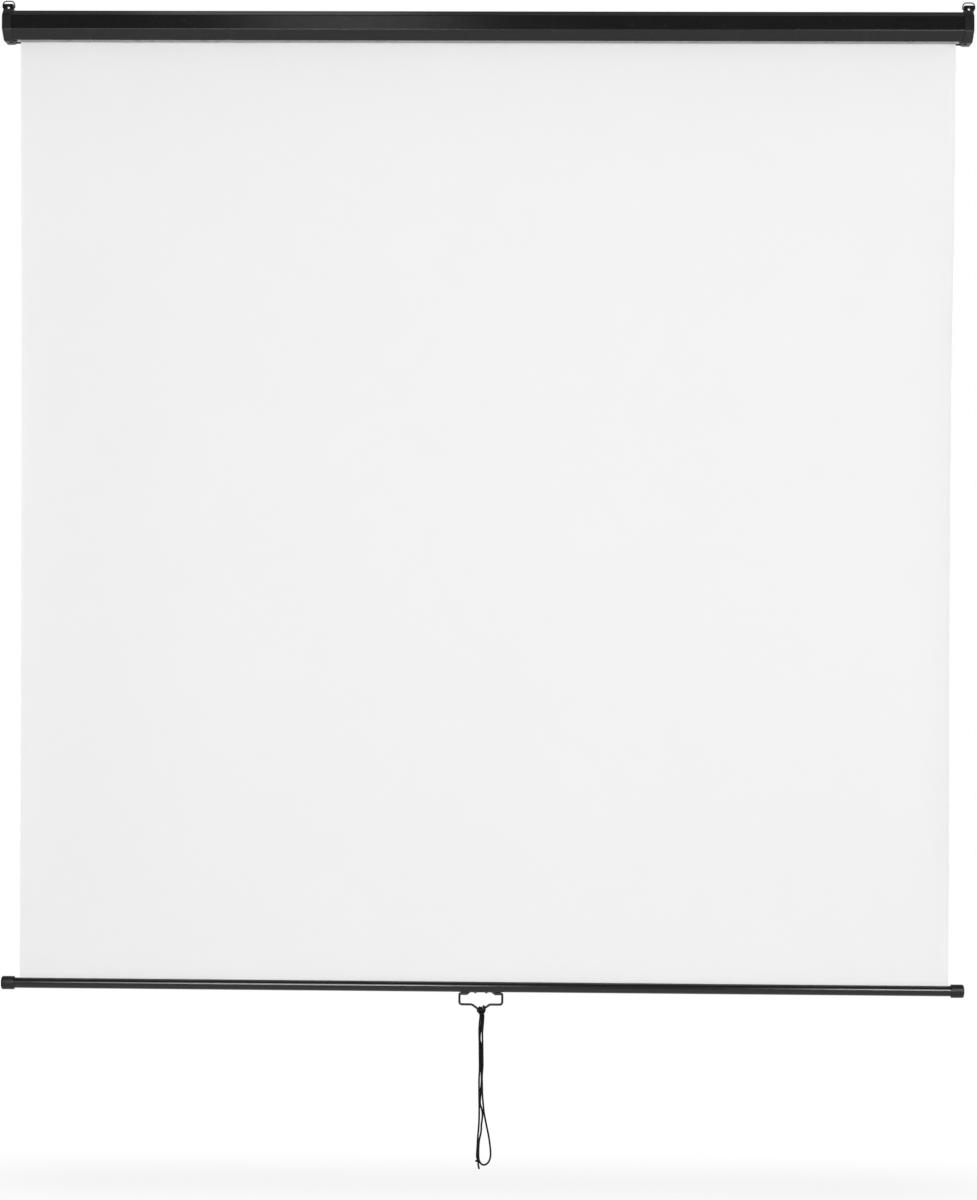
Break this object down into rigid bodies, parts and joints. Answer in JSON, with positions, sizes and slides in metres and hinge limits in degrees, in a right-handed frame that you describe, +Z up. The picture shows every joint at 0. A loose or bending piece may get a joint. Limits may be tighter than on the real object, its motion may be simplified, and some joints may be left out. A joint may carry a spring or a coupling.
{
  "type": "roller projection screen",
  "caption": "Wall-hung pull-down projection screen: white cloth on a spring roller in a black folded-sheet casing, with a round bottom bar, wire handle and looped pull cord.",
  "frame": {"origin": "midway between the two wall-screw holes, on the wall plane at the back of the hangers and end caps", "axes": "+X along the casing to the viewer's right, +Y away from the viewer into the wall, +Z up"},
  "size_m": [1.8872, 0.063, 2.2608],
  "materials": {
    "casing_paint": "satin black coat",
    "cap_plastic": "black moulded plastic, fine grain",
    "bar_paint": "satin black coat",
    "black_wire": "black coated wire",
    "black_screws": "blackened steel",
    "bare_steel": "bright drawn steel",
    "roller_metal": "mill finish",
    "nylon": "natural moulded plastic",
    "screen_white": "matt white coated cloth",
    "black_cord": "black braided cord"
  },
  "bodies": {
    "housing": {"casing": "casing_paint", "end_cap_left": "cap_plastic", "end_cap_right": "cap_plastic", "cap_screws": "black_screws", "hanger_bracket_left": "bar_paint", "hanger_bracket_right": "bar_paint", "hanger_screws": "black_screws", "spring_shaft": "bare_steel", "spring_collar": "bare_steel", "torsion_spring": "bare_steel", "ratchet_hub": "bare_steel", "idler_bush": "nylon"},
    "ring_left": {"hanger_ring_left": "black_wire"},
    "ring_right": {"hanger_ring_right": "black_wire"},
    "roller": {"roller_tube": "roller_metal", "spring_plug": "nylon", "idler_plug": "nylon", "idler_pin": "bare_steel", "spring_anchor": "nylon", "pawl_pins": "bare_steel", "cloth_wraps": "screen_white"},
    "upper_pawl": {"pawl_upper": "bare_steel"},
    "lower_pawl": {"pawl_lower": "bare_steel"},
    "bar": {"screen_cloth": "screen_white", "welt_rod": "nylon", "bottom_bar": "bar_paint", "bar_cap_left": "cap_plastic", "bar_cap_right": "cap_plastic", "handle_clip": "bar_paint", "clip_screws": "black_screws"},
    "handle": {"wire_handle": "black_wire"},
    "cord": {"pull_cord_loop": "black_cord", "pull_cord_leg": "black_cord", "pull_cord_tail": "black_cord", "cord_end_knot": "black_cord", "cord_hitch": "black_cord"}
  },
  "joints": [
    {"name": "screen_drop", "type": "slide", "parent": "housing", "child": "bar", "axis": [0, 0, 1], "range_m": [0, 1.8], "deforming": ["screen_cloth"]},
    {"name": "roller_spin", "type": "hinge", "parent": "housing", "child": "roller", "pos_m": [0, -0.0315, -0.0425], "axis": [1, 0, 0], "range_deg": [0, 5220.1]},
    {"name": "upper_pawl_swing", "type": "hinge", "parent": "roller", "child": "upper_pawl", "pos_m": [-0.913, -0.0315, -0.0293], "axis": [1, 0, 0], "range_deg": [0, 12]},
    {"name": "lower_pawl_swing", "type": "hinge", "parent": "roller", "child": "lower_pawl", "pos_m": [-0.913, -0.0315, -0.0557], "axis": [1, 0, 0], "range_deg": [0, 12]},
    {"name": "handle_swing", "type": "hinge", "parent": "bar", "child": "handle", "pos_m": [0, -0.0144, -1.9089], "axis": [1, 0, 0], "range_deg": [-80, 80]},
    {"name": "cord_swing", "type": "hinge", "parent": "handle", "child": "cord", "pos_m": [0, -0.0144, -1.9407], "axis": [1, 0, 0], "range_deg": [-50, 50]},
    {"name": "left_ring_fold", "type": "hinge", "parent": "housing", "child": "ring_left", "pos_m": [-0.931, -0.004, 0], "axis": [1, 0, 0], "range_deg": [-90, 90]},
    {"name": "right_ring_fold", "type": "hinge", "parent": "housing", "child": "ring_right", "pos_m": [0.931, -0.004, 0], "axis": [1, 0, 0], "range_deg": [-90, 90]}
  ],
  "couplings": [
    {"joint": "roller_spin", "follows": "screen_drop", "rad_per_m": 50.615}
  ]
}
